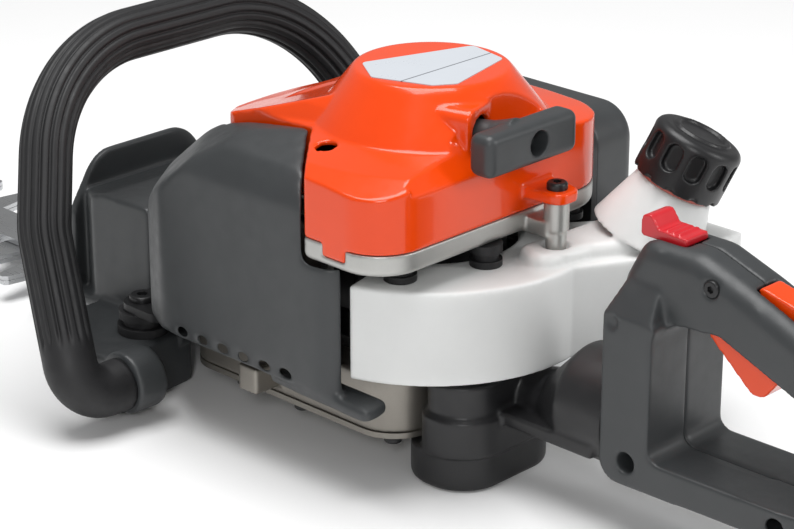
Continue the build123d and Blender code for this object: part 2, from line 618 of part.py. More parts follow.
def cover_roof(drop):
    """Space under the cover's roof, which falls away to the left, to the front and over the corner between."""
    points = [(84, 44), (84, 112), (80.5, 125), (77, 132.5), (71.5, 139.5), (46, 149), (-70, 152), (-70, 44)]
    lateral = [(y - drop, z - drop) for y, z in points]
    across = Pos(-60, 0, 0) * extrude(Plane.YZ * make_face(Polyline(*lateral, close=True)), 200)
    lengthwise = [(-60, 44), (128 - drop, 44), (124 - drop, 90), (118 - drop, 102), (110 - drop, 114 - drop),
                  (98 - drop, 127 - drop), (82, 136 - drop), (60, 141.5 - drop), (26, 147.5 - drop), (-60, 158 - drop)]
    along = side_slab(lengthwise, [1, 1, 8, 8, 8, 8, 6, 6, 6, 1], -90, 90)
    diagonal = [(-90, 44), (136 - drop, 44), (132 - drop, 84), (129 - drop, 97), (121 - drop, 111 - drop),
                (101 - drop, 130 - drop), (82, 141 - drop), (40, 156 - drop), (-90, 156 - drop)]
    corner = Rot(0, 0, CORNER_LEAN) * side_slab(diagonal, [1, 1, 8, 8, 10, 10, 6, 6, 1], -160, 160)
    return across & along & corner


def muffler_cover():
    outer = slab(COVER_PLAN, COVER_CORNERS, *COVER_Z) & cover_roof(0)
    inset = offset(outline(COVER_PLAN, COVER_CORNERS), -WALL)
    inside = Pos(0, 0, COVER_Z[0] - 5) * extrude(inset, 120) & cover_roof(WALL)
    shell = outer - inside
    shell -= block((-60, -90, 40), (34, 71.5, 114.8))
    shell -= block((-60, 40, 104), (-2.4, 90, 160))
    shell -= block((30, -90, 40), (140, -46, 160))
    shell -= slab([(-5, 82), (-60, 82), (-60, -90), (99.6, -90), (99.6, 24), (82.6, 42.6), (26, 46.6)], 0.5,
                  104.5, 170)
    shell += slab([(24, 76), (-38, 78), (-36, 62), (24, 62)], [1, 3, 3, 1], 39, 46)
    for index in range(6):
        vent_x = 6 + index * 13.0
        shell -= block((vent_x, 76, 47.5), (vent_x + 7, 90, 50))
    return shell


# ---------------------------------------------------------------- tank

TANK_RIDGE_Z = 101.0         # the tank stands higher beside the filler neck
BUFFER_POINTS = [(-44.0, 13.0), (-31.0, -54.0), (-30.0, 50.0)]


def tank_plan():
    """Plan of the tank: an arc behind the crankcase that runs out into a lobe at the rear right."""
    ring = Circle(TANK_R[1]) - Circle(TANK_R[0])
    sector = make_face(Polyline((-10, 30), (-25, 90), (-120, 90), (-120, -60), (-44, -60), (-13, -20), close=True))
    lobe = make_face(Polyline((-60, -10), (-72, -10), (-98, -58), (-98, -92), (-44, -92), (-44, -50), close=True))
    return (ring & sector) + (lobe - Circle(TANK_R[0]))


def tank_neck(inset):
    base = Vector(*CAP_BASE) - Vector(*CAP_LEAN) * 26
    return loft([Plane(origin=base, z_dir=CAP_LEAN) * Circle(26 - inset),
                 Plane(origin=CAP_BASE, z_dir=CAP_LEAN) * Circle(NECK_TOP_R - inset)])


def tank_ridge(inset):
    """The raised part of the tank's top."""
    low, high = 88.0, TANK_RIDGE_Z - inset
    body = slab([(-48 - inset, -2 - inset), (-66 + inset, 6 - inset), (-72 + inset, -22), (-88 + inset, -50),
                 (-88 + inset, -84 + inset), (-51 - inset, -84 + inset), (-51 - inset, -45)],
                [6 - inset, 8 - inset, 10, 10, 14 - inset, 8 - inset, 8], low, high)
    return body if inset else soften(body, body.faces().sort_by(Axis.Z)[-1].edges(), 4)


def fuel_tank():
    wall, height = 2.4, TANK_Z[1] - TANK_Z[0]
    body = Pos(0, 0, TANK_Z[0]) * extrude(tank_plan(), height)
    body = soften(body, body.faces().sort_by(Axis.Z)[0].edges(), 5)
    body = soften(body, body.faces().sort_by(Axis.Z)[-1].edges(), 5)
    inside = Pos(0, 0, TANK_Z[0] + wall) * extrude(offset(tank_plan(), -wall), height - 2 * wall)
    tank = (body + tank_ridge(0) + tank_neck(0)) - inside - tank_ridge(wall) - tank_neck(wall)
    throat = rod(NECK_TOP_R - 3.5, Vector(*CAP_BASE) - Vector(*CAP_LEAN) * 12, Vector(*CAP_BASE) + Vector(*CAP_LEAN))
    tank -= throat
    tank += disc(10, *EAR, TANK_RIDGE_Z - 6, TANK_RIDGE_Z - 1)
    return tank - disc(6, *EAR, TANK_RIDGE_Z - 2.3, TANK_RIDGE_Z + 4)


def fuel_cap():
    """Screw cap with pockets for the fingers round its side and a raised rim on top."""
    rise = Plane(origin=Vector(*CAP_BASE) + Vector(*CAP_LEAN) * 1.2, z_dir=CAP_LEAN)
    cap = Cylinder(CAP_R, CAP_H, align=MIN)
    cap = fillet(cap.faces().sort_by(Axis.Z)[-1].edges(), 4)
    pocket_count, pocket_size, pocket_z = 11, (7.2, 12.0), 13.5
    side = Plane(origin=(CAP_R - 3.2, 0, pocket_z), x_dir=(0, 1, 0), z_dir=(1, 0, 0))
    pocket = extrude(side * RectangleRounded(*pocket_size, 3.2), 6)
    for index in range(pocket_count):
        cap -= Rot(0, 0, index * 360 / pocket_count) * pocket
        cap -= Rot(0, 0, (index + 0.5) * 360 / pocket_count) * block((CAP_R - 1.6, -1.5, 0), (CAP_R + 1, 1.5, 1.6))
    cap -= Cylinder(NECK_TOP_R + 0.6, 4, align=MIN)
    cap += Pos(0, 0, CAP_H) * (Cylinder(13, 1.4, align=MIN) - Cylinder(10.5, 1.4, align=MIN))
    plug = Pos(0, 0, -8) * Cylinder(NECK_TOP_R - 4.2, 14, align=MIN)
    return rise * (cap + plug)


def cap_seal():
    rise = Plane(origin=Vector(*CAP_BASE) + Vector(*CAP_LEAN) * 0.05, z_dir=CAP_LEAN)
    return rise * (Cylinder(NECK_TOP_R + 0.2, 1.1, align=MIN) - Cylinder(NECK_TOP_R - 3.7, 1.1, align=MIN))


def tank_buffers():
    bodies = []
    for x, y in BUFFER_POINTS:
        rubber = disc(7, x, y, TANK_Z[1], PLATE_Z[0]) - (disc(7, x, y, 98, 101) - disc(5.5, x, y, 98, 101))
        bodies.append(rubber)
    return group(bodies)


def hose(radius, points, bends):
    """A round hose or cable along straight runs joined by arcs."""
    route = FilletPolyline(*points, radius=bends)
    start = Plane(origin=route @ 0, z_dir=route % 0)
    return sweep(start * Circle(radius), path=route)


def fuel_hoses():
    """Feed and return hoses from the tank's front wall to the carburettor."""
    routes = [[(-43.9, -64, z), (-18, -64, z), (12, -56, z), (43, -56, z)] for z in (70.0, 78.0)]
    return group([hose(2.5, points, 25) for points in routes])


# ---------------------------------------------------------------- rear support and handle

NECK_Z = 46.0


def rear_support():
    """Foot with its ledge, and the neck that carries the rear handle."""
    sole = slab([(-61, -20), (-20, -20), (-18, 43), (-61, 43)], [18, 8, 19, 20], 0, 16.5)
    upper = slab([(-63, -22), (-30.5, -22), (-30.5, 44.5), (-63, 44.5)], [19, 6, 12, 20], 16.5, 34)
    top = slab([(-61, -19), (-32, -19), (-32, 42), (-61, 42)], [17, 5, 11, 18], 34, 49)
    foot = soften(sole + upper, (sole + upper).faces().sort_by(Axis.Z)[0].edges(), 3) + top
    foot += block((-112, -23, 30), (-48, -6, 36)) + block((-112, 6, 30), (-48, 23, 36))
    sections = [(-50, 12, 37), (-66, 12.5, 38), (-75, 14, 38.5), (-92, 24, NECK_Z), (POST_X[1], 24, NECK_Z)]
    rings = [Plane(origin=(x, 0, z), z_dir=(-1, 0, 0)) * Circle(r) for x, r, z in sections]
    neck = loft(rings[:2]) + loft(rings[1:3]) + loft(rings[2:4]) + loft(rings[3:])
    body = foot + neck
    for x, y in SPRING_POINTS:
        body -= disc(7.5, x, y, 40, 50)
    return body - hose(2.0, CABLE_ROUTE, CABLE_BENDS)


SPRING_POINTS = [(-46.0, 28.0), (-46.0, -9.0)]


def support_springs():
    coils = []
    for x, y in SPRING_POINTS:
        height, radius, wire_r, turns = 11.0, 5.5, 0.9, 4
        path = Helix(pitch=height / turns, height=height, radius=radius)
        start = Plane(origin=path @ 0, z_dir=path % 0)
        coil = sweep(start * Circle(wire_r), path=path, is_frenet=True)
        coils.append(Pos(x, y, 41.1) * coil)
    return group(coils)


HANDLE_SIDE = [(POST_X[1], 25), (-190, 27), (-262, 31), (-293, 52), (-287, 77), (-178, 121), (-155, 129),
               (-127, 129), (POST_X[1], 110)]
HANDLE_BENDS = [10, 20, 20, 14, 14, 16, 16, 10, 12]
OPENING_SIDE = [(POST_X[0], 40), (POST_X[0], 97.5), (-168, 99.5), (-203, 85.5), (-259, 62), (-262, 50), (-235, 41)]
OPENING_BENDS = [6, 6, 6, 20, 6, 6, 20]
SHOULDER_Z = 98.0            # top of the post's full width


def handle_form(inset):
    """Solid form of the handle: slim and rounded along the grip, wide at the post and the lower bar."""
    side = outline(HANDLE_SIDE, HANDLE_BENDS)
    opening = outline(OPENING_SIDE, OPENING_BENDS)
    if inset:
        side, opening = offset(side, -inset), offset(opening, inset)
    half, slim = HANDLE_HALF - inset, GRIP_HALF - inset
    narrow = Pos(0, slim, 0) * extrude(Plane.XZ * side, 2 * slim)
    rims = [edge for edge in narrow.edges() if abs(abs(edge.center().Y) - slim) < 0.01]
    narrow = soften(narrow, rims, 8.5 - inset) - Pos(0, 40, 0) * extrude(Plane.XZ * opening, 80)
    taper = slab([(-110, -half), (-110, half), (-205, half), (-300, slim), (-300, -slim), (-205, -half)], 1, 0,
                 SHOULDER_Z - inset)
    wide = Pos(0, half, 0) * extrude(Plane.XZ * (side - opening), 2 * half) & taper
    wide -= block((-320, -40, 47 - inset), (POST_X[0] - 1 - inset, 40, 140))
    base_x, base_width = (POST_X[0] + POST_X[1]) / 2, POST_X[1] - POST_X[0] - 2 * inset
    shoulder = loft([Plane(origin=(base_x, 0, SHOULDER_Z - inset)) * Rectangle(base_width, 2 * half),
                     Plane(origin=(base_x - 1, 0, 115 - inset)) * Rectangle(base_width - 10, 2 * slim - 4)])
    return narrow + wide + shoulder


TRIGGER_PIVOT = (-163.0, 106.0)
LOCK_PIVOT = (-184.0, 112.0)
SWITCH_PIVOT = (-136.0, 123.0)


def handle_shell():
    shell = handle_form(0)
    shell -= handle_form(2.8)
    shell -= block((-202, -6.8, 70), (-153, 6.8, 104))
    shell -= block((-222, -6.8, 96), (-178, 6.8, 135))
    shell -= block((-145, -7.8, 124), (-121, 7.8, 132))
    shell += rod(6.5, (-131, HANDLE_HALF - 1, 36), (-131, 1 - HANDLE_HALF, 36))
    shell -= rod(4.5, (-131, 26, 36), (-131, -26, 36)) + rod(3.5, (-122, 26, 95), (-122, 23, 95))
    for x, z in HANDLE_SCREWS:
        shell += rod(4.2, (x, -GRIP_HALF + 1, z), (x, GRIP_HALF - 2, z))
        shell -= rod(1.6, (x, -GRIP_HALF + 3, z), (x, GRIP_HALF + 10, z))
        shell -= rod(3.8, (x, GRIP_HALF - 2.4, z), (x, HANDLE_HALF + 1, z))
    pivots = [(TRIGGER_PIVOT, GRIP_HALF, 6.6), (LOCK_PIVOT, GRIP_HALF, 6.6), (SWITCH_PIVOT, GRIP_HALF, 7.6)]
    for (x, z), half, reach in pivots:
        posts = rod(3, (x, 1 - half, z), (x, half - 1, z)) - rod(4, (x, -reach, z), (x, reach, z))
        shell += posts
        shell -= rod(1.5, (x, -11, z), (x, 11, z))
    return shell - hose(2.0, CABLE_ROUTE, CABLE_BENDS)


HANDLE_SCREWS = [(-163.0, 118.0), (-226.0, 88.0), (-274.0, 62.0), (-205.0, 33.5)]
CABLE_ROUTE = [(-186, 9.5, 104), (-172, 9.5, 111.6), (-150, 9.5, 111.6), (-129, 9.5, 99), (-129, 9.5, 62),
               (-122, 8, 46), (-98, 4, 46), (-84, -30, 47), (-62, -46, 49.5), (-30, -58, 49.5), (0, -60, 50),
               (58, -58, 51), (82, -58, 60), (84, -62, 86), (79, -62, 101)]
CABLE_BENDS = [8, 12, 12, 8, 8, 8, 12, 12, 20, 20, 20, 10, 10]


def handle_left():
    return handle_shell() & block((-300, 0, 0), (-100, 30, 140))


def handle_right():
    return handle_shell() & block((-300, -30, 0), (-100, 0, 140))


def trigger():
    x, z = TRIGGER_PIVOT
    lever = side_slab([(x - 4, z + 3.5), (x + 4, z + 3.5), (-155.5, 95), (-178, 75.5), (-184, 75.5), (-193, 87),
                       (-199, 98), (x - 10, z + 1)], [1, 2, 4, 3, 4, 8, 2, 2], -6, 6)
    return lever - rod(1.5 + FIT, (x, -7, z), (x, 7, z))


def lockout():
    x, z = LOCK_PIVOT
    lever = side_slab([(x + 3, z - 3.5), (x + 5, 121.5), (-196, 117.5), (-217, 107.5), (-219, 104.5),
                       (-214, 104), (-196, 112.5), (x - 4, z - 3.5)], [2, 1.5, 8, 1.5, 1, 1, 8, 2], -6, 6)
    return lever - rod(1.5 + FIT, (x, -7, z), (x, 7, z))


def stop_switch():
    x, z = SWITCH_PIVOT
    rocker = side_slab([(-144, 127.5), (-121.5, 127.5), (-121.5, 136), (-126, 137), (-130, 131.7), (-144, 131.2)],
                       [1, 1, 2, 2, 2, 1], -7, 7)
    for rib_x in (-134, -137, -140):
        rocker += block((rib_x, -6, 131), (rib_x + 1.2, 6, 132.3))
    return rocker + block((x - 3, -5, z - 3), (x + 3, 5, 128)) - rod(1.5 + FIT, (x, -6, z), (x, 6, z))


def hinge_pins():
    """Pins of the trigger, the lockout, the stop switch and the choke lever."""
    pins = [rod(1.5, (x, -10.9, z), (x, 10.9, z)) for x, z in (TRIGGER_PIVOT, LOCK_PIVOT, SWITCH_PIVOT)]
    x, z = CHOKE
    pins.append(rod(1.5, (x, -68, z), (x, -77.5, z)) + rod(3, (x, -77.5, z), (x, -79, z)))
    return group(pins)


def throttle_cable():
    """Sleeved cable from the trigger down the handle's post, out of the neck and forward to the carburettor."""
    return hose(1.6, CABLE_ROUTE, CABLE_BENDS)


# ---------------------------------------------------------------- front guard and loop handle

MOUNT_XY = (128.0, 57.0)
SOCKET = (LOOP_FOOT_X + LOOP_AXIS[0][1] * math.sin(math.radians(LOOP_LEAN)),
          LOOP_AXIS[0][1] * math.cos(math.radians(LOOP_LEAN)))     # X and Z of the loop's ends


def base_outline(side):
    points = [(114, 40), (111, 72), (106, 88), (126, 92), (150, 84), (171, 60), (171, 40)]
    corners = [1, 4, 3, 6, 10, 6, 1]
    if side < 0:
        points = [(x, -y) for x, y in reversed(points)]
        corners = list(reversed(corners))
    return points, corners


def front_guard():
    """Tray with its two side pads, the sockets of the loop handle, the duct over the blade and the hand guard."""
    body = block((112, -48, 21), (GUARD_X + 4, 48, 26))
    for side in (1, -1):
        points, corners = base_outline(side)
        pad = slab(points, corners, 0, 27)
        body += soften(pad, pad.faces().sort_by(Axis.Z)[0].edges(), 3)
        body += rod(LOOP_R + 2.5, (SOCKET[0], side * 76, SOCKET[1]), (SOCKET[0], side * SOCKET_Y, SOCKET[1]))
    plate = outline([(-46, 22), (46, 22), (44, 66), (28, 91), (-28, 91), (-44, 66)], [2, 2, 14, 18, 18, 14])
    body += extrude(Plane(origin=(GUARD_X, 0, 0), x_dir=(0, 1, 0), z_dir=(1, 0, 0)) * plate, 4.5)
    body += side_slab([(137, 20), (GUARD_X + 1, 20), (GUARD_X + 1, 74), (168, 80), (137, 80)], [1, 1, 1, 4, 4],
                      -52, 52) & slab([(137, 44), (176, 46), (GUARD_X + 1, 36), (GUARD_X + 1, -36), (176, -46),
                                       (137, -44)], 2, 0, 90)
    body -= block((130, -41, 28), (173, 41, 77))
    for side in (1, -1):
        body -= disc(6, MOUNT_XY[0], side * MOUNT_XY[1], 14, 31)
    return body - loop_tube(LOOP_R - 4, *loop_path(72))


def av_mounts():
    """Ribbed rubber mounts between the front base and the bracket."""
    mounts = []
    for side in (1, -1):
        x, y = MOUNT_XY[0], side * MOUNT_XY[1]
        stack = disc(6, x, y, 14, 27) + disc(12, x, y, 27, 31) + disc(9, x, y, 31, 34) + disc(11, x, y, 34, 38)
        mounts.append(stack - disc(3, x, y, 14, 38))
    return group(mounts)


def mount_bracket():
    """Forged arm on the gear case that carries the two front vibration mounts."""
    arm = block((106, -66, 38), (136, 66, 42))
    arm = fillet(arm.edges().filter_by(Axis.Z), 8)
    for side in (1, -1):
        arm -= disc(3, MOUNT_XY[0], side * MOUNT_XY[1], 38, 42)
    return arm


def loop_path(end_y):
    """Centre line of the loop handle between its two ends at end_y either side."""
    lean = math.radians(LOOP_LEAN)
    plane = Plane(origin=(LOOP_FOOT_X, 0, 0), x_dir=(0, 1, 0), z_dir=Vector(math.cos(lean), 0, -math.sin(lean)))
    half = [(end_y, LOOP_AXIS[0][1]), *LOOP_AXIS]
    points = half + [(-y, rise) for y, rise in reversed(half)]
    return points, LOOP_BENDS + LOOP_BENDS[::-1], plane


def loop_tube(radius, points, corners, plane):
    route = plane * FilletPolyline(*points, radius=corners)
    start = Plane(origin=route @ 0, z_dir=route % 0)
    return sweep(start * Circle(radius), path=route)


def front_handle():
    return loop_tube(LOOP_R - 4, *loop_path(72))


def front_handle_grip():
    end_y = SOCKET_Y + 0.3
    return loop_tube(LOOP_R, *loop_path(end_y)) - loop_tube(LOOP_R - 4, *loop_path(end_y))


BUILDERS = [crankcase, bearings, crankshaft, engine_pins, connecting_rod, piston, cylinder, spark_plug,
            plug_boot, muffler, intake_manifold, carburettor, carburettor_lever, air_filter_base,
            primer_bulb, air_filter_element, air_filter_cover, filter_cover_knob, choke_lever, flywheel,
            starter_cup, ignition_module, clutch, clutch_drum, drive_gear, gear_case, gear_case_cover,
            blade_bar, blade_bolts, starter_housing, fan_case, body_screws, top_badge, rope_pulley,
            starter_rope, recoil_spring, starter_handle, muffler_cover, fuel_tank, fuel_cap, cap_seal,
            tank_buffers, fuel_hoses, rear_support, support_springs, handle_left, handle_right, trigger,
            lockout, stop_switch, hinge_pins, throttle_cable, front_guard, av_mounts, mount_bracket,
            front_handle, front_handle_grip]

for builder in BUILDERS:
    nodes[builder.__name__] = builder()
nodes["blade_upper"] = group([blade(UPPER_BLADE_Z), eccentric(UPPER_BLADE_Z, -CUT_STROKE / 2)])
nodes["blade_lower"] = group([blade(LOWER_BLADE_Z), eccentric(LOWER_BLADE_Z, CUT_STROKE / 2)])

os.makedirs("parts", exist_ok=True)
for name, shape in nodes.items():
    export_step(Pos(ORIGIN_SETBACK, 0, 0) * shape, f"parts/{name}.step")
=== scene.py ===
import json
import math

import bmesh
import bpy
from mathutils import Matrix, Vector


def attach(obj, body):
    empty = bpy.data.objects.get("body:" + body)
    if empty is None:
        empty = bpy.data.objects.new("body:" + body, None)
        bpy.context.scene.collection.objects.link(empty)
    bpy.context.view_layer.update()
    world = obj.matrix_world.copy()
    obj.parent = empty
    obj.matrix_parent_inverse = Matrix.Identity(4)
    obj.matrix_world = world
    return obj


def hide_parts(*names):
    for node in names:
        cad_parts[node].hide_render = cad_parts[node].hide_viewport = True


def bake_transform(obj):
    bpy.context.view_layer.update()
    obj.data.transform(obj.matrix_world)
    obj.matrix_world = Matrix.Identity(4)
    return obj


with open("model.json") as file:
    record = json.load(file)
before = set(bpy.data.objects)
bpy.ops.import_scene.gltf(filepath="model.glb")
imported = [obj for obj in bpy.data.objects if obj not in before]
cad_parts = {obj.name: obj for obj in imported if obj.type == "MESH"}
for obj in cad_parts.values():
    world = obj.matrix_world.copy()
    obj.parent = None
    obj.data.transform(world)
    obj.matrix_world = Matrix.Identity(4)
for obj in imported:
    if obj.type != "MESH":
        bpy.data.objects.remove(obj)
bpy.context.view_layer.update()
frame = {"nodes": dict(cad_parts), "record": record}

MM = 0.001
SETBACK = 42 * MM            # the crankshaft's axis is this far ahead of the row's origin
NODES = frame["nodes"]
BODY_OF = {node: body for body, nodes in frame["record"]["behaviour"]["bodies"].items() for node in nodes}
SLOT_OF = {entry["node"]: entry["material_slot"] for entry in frame["record"]["subparts"]}


# ---------------------------------------------------------------- materials

class Nodes:
    """A material's node tree, built one node at a time."""

    def __init__(self, name):
        self.material = bpy.data.materials.new(name)
        self.material.use_nodes = True
        self.tree = self.material.node_tree
        self.shader = self.tree.nodes["Principled BSDF"]
        self.place = self.add("ShaderNodeTexCoord").outputs["Object"]

    def add(self, kind, links=None, **values):
        """A new node, with its sockets fed by links and its inputs or settings by name."""
        node = self.tree.nodes.new(kind)
        for key, value in values.items():
            if key in node.inputs:
                node.inputs[key].default_value = value
            else:
                setattr(node, key, value)
        for key, source in (links or {}).items():
            self.tree.links.new(source, node.inputs[key])
        return node

    def noise(self, scale, detail=4.0, roughness=0.6, place=None):
        """Fractal noise, 0 to 1, with about this many lumps in a metre."""
        node = self.add("ShaderNodeTexNoise", {"Vector": place or self.place})
        node.inputs["Scale"].default_value = scale
        node.inputs["Detail"].default_value = detail
        node.inputs["Roughness"].default_value = roughness
        return node.outputs["Fac"]

    def ramp(self, source, stops):
        """A value turned into a colour, or a grey, between the given stops."""
        node = self.add("ShaderNodeValToRGB", {"Fac": source})
        elements = node.color_ramp.elements
        for index, (position, colour) in enumerate(stops):
            element = elements[index] if index < 2 else elements.new(position)
            element.position = position
            element.color = (*colour, 1.0) if not isinstance(colour, float) else (colour, colour, colour, 1.0)
        return node.outputs["Color"]

    def connect(self, source, socket):
        self.tree.links.new(source, self.shader.inputs[socket])

    def surface(self, height, depth, edge):
        """Rounded edges of the given radius, with a fine relief on top."""
        rounding = self.add("ShaderNodeBevel", samples=4)
        rounding.inputs["Radius"].default_value = edge
        relief = self.add("ShaderNodeBump", {"Height": height, "Normal": rounding.outputs["Normal"]})
        relief.inputs["Strength"].default_value = 1.0
        relief.inputs["Distance"].default_value = depth
        self.connect(relief.outputs["Normal"], "Normal")


GLOW_DEPTH = 8 * MM          # how far light travels inside a translucent plastic


def plastic(name, colour, rough, grain, depth, edge=0.5 * MM, coat=0.0, tint=0.06, soft=0.0,
            shine=0.5):
    """Moulded plastic: slight tone drift, mottled gloss, and the tool's fine spark-eroded grain."""
    nodes = Nodes(name)
    shade = nodes.noise(35.0, 3.0)
    dark = tuple(max(c * (1 - tint), 0.0) for c in colour)
    light = tuple(min(c * (1 + tint), 1.0) for c in colour)
    nodes.connect(nodes.ramp(shade, [(0.3, dark), (0.7, light)]), "Base Color")
    nodes.connect(nodes.ramp(nodes.noise(140.0, 4.0), [(0.3, rough * 0.85), (0.7, min(rough * 1.15, 1.0))]),
                  "Roughness")
    nodes.surface(nodes.noise(grain, 2.0), depth, edge)
    nodes.shader.inputs["Coat Weight"].default_value = coat
    nodes.shader.inputs["Coat Roughness"].default_value = 0.06
    nodes.shader.inputs["Specular IOR Level"].default_value = shine
    nodes.shader.inputs["Subsurface Weight"].default_value = soft
    nodes.shader.inputs["Subsurface Radius"].default_value = (GLOW_DEPTH, GLOW_DEPTH, GLOW_DEPTH)
    nodes.shader.inputs["Subsurface Scale"].default_value = 1.0
    return nodes.material


def metal(name, colour, rough, grain, depth, edge=0.3 * MM, metallic=1.0, brushed=False):
    """Metal with either a cast grain or fine brushing lines along X."""
    nodes = Nodes(name)
    place = nodes.place
    if brushed:
        stretch = nodes.add("ShaderNodeMapping", {"Vector": nodes.place})
        stretch.inputs["Scale"].default_value = (0.06, 1.0, 1.0)
        place = stretch.outputs["Vector"]
    fleck = nodes.noise(grain, 5.0, 0.7, place)
    drift = nodes.noise(28.0, 4.0)
    nodes.connect(nodes.ramp(drift, [(0.25, tuple(c * 0.86 for c in colour)), (0.75, colour)]), "Base Color")
    nodes.connect(nodes.ramp(fleck, [(0.25, rough * 0.75), (0.75, min(rough * 1.3, 1.0))]), "Roughness")
    nodes.surface(fleck, depth, edge)
    nodes.shader.inputs["Metallic"].default_value = metallic
    return nodes.material


def braided(name, colour):
    """Braided cord: two crossing sets of slanted bands."""
    nodes = Nodes(name)
    bands = []
    for lean in (0.6, -0.6):
        turn = nodes.add("ShaderNodeMapping", {"Vector": nodes.place})
        turn.inputs["Rotation"].default_value = (lean, 0.0, lean)
        wave = nodes.add("ShaderNodeTexWave", {"Vector": turn.outputs["Vector"]})
        wave.inputs["Scale"].default_value = 420.0
        bands.append(wave.outputs["Fac"])
    weave = nodes.add("ShaderNodeMath", {0: bands[0], 1: bands[1]}, operation="MAXIMUM").outputs[0]
    nodes.connect(nodes.ramp(weave, [(0.2, tuple(c * 0.4 for c in colour)), (0.8, colour)]), "Base Color")
    nodes.shader.inputs["Roughness"].default_value = 0.85
    nodes.surface(weave, 0.2 * MM, 0.1 * MM)
    return nodes.material


def foam(name, colour):
    """Open-cell foam: dark pores between paler cell walls."""
    nodes = Nodes(name)
    cells = nodes.add("ShaderNodeTexVoronoi", {"Vector": nodes.place})
    cells.inputs["Scale"].default_value = 700.0
    nodes.connect(nodes.ramp(cells.outputs["Distance"], [(0.1, (0.004, 0.004, 0.005)), (0.6, colour)]),
                  "Base Color")
    nodes.shader.inputs["Roughness"].default_value = 0.95
    nodes.surface(cells.outputs["Distance"], 0.5 * MM, 0.5 * MM)
    return nodes.material


LABEL_RULE_X = 34 * MM       # the label's rule, from the row's origin
LABEL_RULE_HALF = 0.4 * MM


def label(name):
    """Printed foil label: off-white with one thin grey rule across it, and no lettering."""
    nodes = Nodes(name)
    along = nodes.add("ShaderNodeSeparateXYZ", {"Vector": nodes.place}).outputs["X"]
    rule = nodes.add("ShaderNodeMath", {0: along}, operation="COMPARE")
    rule.inputs[1].default_value = LABEL_RULE_X
    rule.inputs[2].default_value = LABEL_RULE_HALF
    nodes.connect(nodes.ramp(rule.outputs[0], [(0.0, (0.55, 0.58, 0.62)), (1.0, (0.16, 0.17, 0.19))]),
                  "Base Color")
    nodes.connect(nodes.ramp(nodes.noise(90.0), [(0.3, 0.26), (0.7, 0.34)]), "Roughness")
    nodes.surface(nodes.noise(900.0), 0.01 * MM, 0.1 * MM)
    return nodes.material


MATERIALS = {
    "orange_plastic": plastic("orange_plastic", (0.80, 0.058, 0.001), 0.22, 900.0, 0.002 * MM, tint=0.03,
                              shine=0.3, coat=0.4),
    "grey_plastic": plastic("grey_plastic", (0.036, 0.039, 0.041), 0.42, 2600.0, 0.02 * MM),
    "dark_plastic": plastic("dark_plastic", (0.024, 0.025, 0.026), 0.46, 2200.0, 0.02 * MM),
    "black_plastic": plastic("black_plastic", (0.010, 0.010, 0.011), 0.4, 2200.0, 0.02 * MM),
    "black_rubber": plastic("black_rubber", (0.009, 0.009, 0.010), 0.55, 1800.0, 0.02 * MM),
    "red_plastic": plastic("red_plastic", (0.55, 0.012, 0.02), 0.33, 1500.0, 0.01 * MM, coat=0.2),
    "seal_rubber": plastic("seal_rubber", (0.55, 0.14, 0.11), 0.6, 1500.0, 0.02 * MM),
    "clear_rubber": plastic("clear_rubber", (0.62, 0.63, 0.58), 0.35, 900.0, 0.01 * MM, soft=0.4),
    "tank_plastic": plastic("tank_plastic", (0.74, 0.75, 0.74), 0.38, 700.0, 0.02 * MM, tint=0.02, soft=0.5),
    "white_label": label("white_label"),
    "cast_metal": metal("cast_metal", (0.50, 0.50, 0.48), 0.42, 1500.0, 0.03 * MM, metallic=0.85),
    "case_paint": metal("case_paint", (0.30, 0.28, 0.25), 0.42, 1700.0, 0.03 * MM, metallic=0.8),
    "piston_alloy": metal("piston_alloy", (0.7, 0.7, 0.71), 0.25, 900.0, 0.005 * MM, brushed=True),
    "steel": metal("steel", (0.5, 0.51, 0.52), 0.28, 1100.0, 0.006 * MM, brushed=True),
    "blade_steel": metal("blade_steel", (0.58, 0.59, 0.6), 0.3, 1300.0, 0.01 * MM, brushed=True),
    "muffler_steel": metal("muffler_steel", (0.3, 0.26, 0.23), 0.45, 600.0, 0.02 * MM),
    "black_steel": metal("black_steel", (0.02, 0.02, 0.021), 0.36, 1400.0, 0.01 * MM, metallic=0.3),
    "rope_cord": braided("rope_cord", (0.06, 0.06, 0.06)),
    "filter_foam": foam("filter_foam", (0.06, 0.06, 0.065)),
}


# Pieces given a darker material than the rest of their slot: the crankcase, bare metal, is painted black as
# painted shade where it sits in shade between the muffler cover and the tank; the fuel cap is black plastic
FINISH_AND_PAINTED_SHADE_OF = {**SLOT_OF, "crankcase": "black_steel", "fuel_cap": "black_plastic"}


def dress(piece, finish):
    """Gives a piece the finish of this name."""
    piece.data.materials.clear()
    piece.data.materials.append(MATERIALS[finish])


for node, holder in NODES.items():
    for spot in holder.material_slots:
        spot.material = MATERIALS[FINISH_AND_PAINTED_SHADE_OF[node]]


# ---------------------------------------------------------------- mesh helpers

def baked(piece):
    """Replaces a piece's mesh with what its modifiers make of it."""
    bpy.context.view_layer.update()
    graph = bpy.context.evaluated_depsgraph_get()
    mesh = bpy.data.meshes.new_from_object(piece.evaluated_get(graph))
    piece.modifiers.clear()
    piece.data = mesh
    return piece


def new_piece(name, mesh):
    """A new object in the scene with this mesh."""
    piece = bpy.data.objects.new(name, mesh)
    bpy.context.scene.collection.objects.link(piece)
    return piece


def stand_for(piece, *nodes):
    """The piece rides with its nodes' body, takes their finish and is shown in their place."""
    dress(piece, FINISH_AND_PAINTED_SHADE_OF[nodes[0]])
    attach(piece, BODY_OF[nodes[0]])
    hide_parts(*nodes)
    return piece


KEPT_FACES = 0.4             # share of the remeshed faces that is kept
WELD = 0.002 * MM            # corners nearer than this are one


